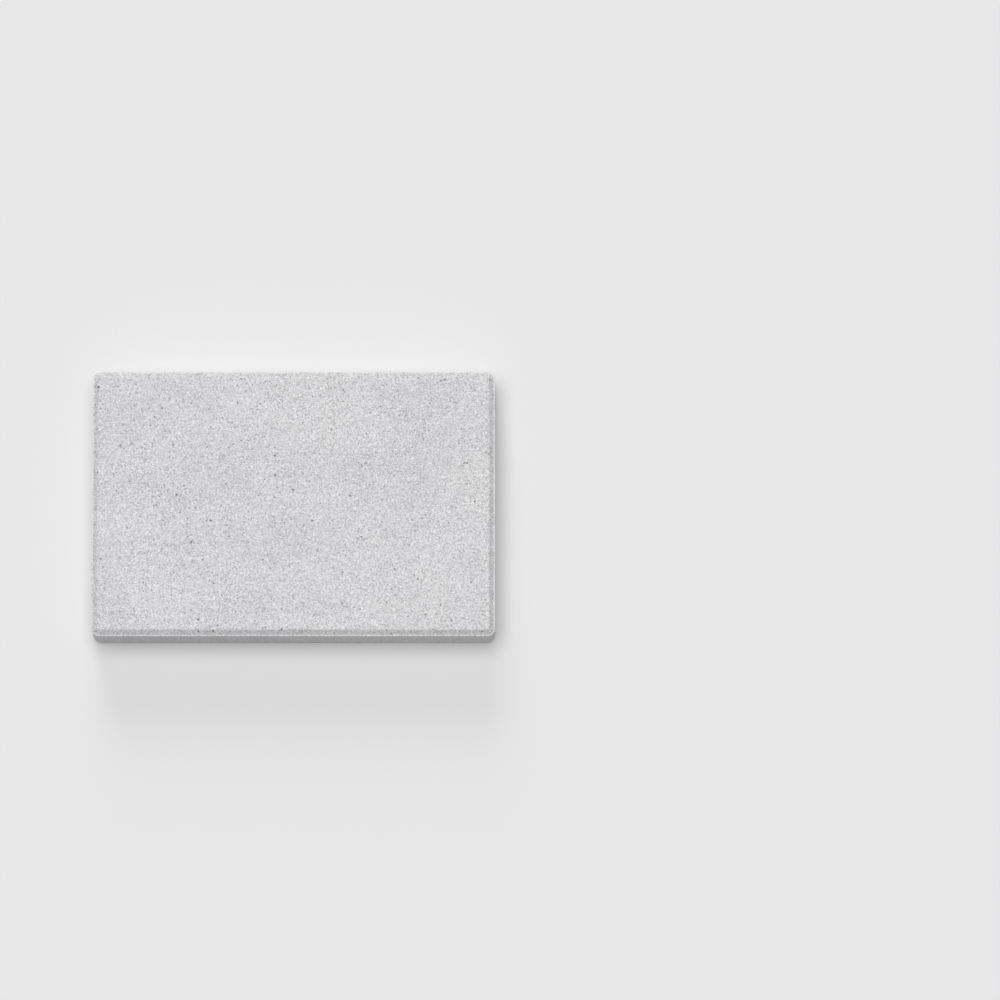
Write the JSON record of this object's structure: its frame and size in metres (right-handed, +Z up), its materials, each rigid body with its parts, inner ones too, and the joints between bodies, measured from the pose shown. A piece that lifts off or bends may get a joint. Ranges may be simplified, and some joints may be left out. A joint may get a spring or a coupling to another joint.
{
  "type": "concrete paving slab",
  "caption": "Rectangular light-grey concrete paving slab with a chamfered walking face, rounded upright corners, plumb sides and a flat bed, laid with narrow joints to pave a path or yard.",
  "frame": {"origin": "middle of the bed, the face that the slab lies on", "axes": "+Z up to the walking face, +X along the length, +Y across the width"},
  "size_m": [0.446, 0.296, 0.06],
  "materials": {
    "concrete": "matt, fine-grained light-grey concrete with dark specks and small pits"
  },
  "bodies": {
    "root": {"slab": "concrete"}
  },
  "joints": []
}
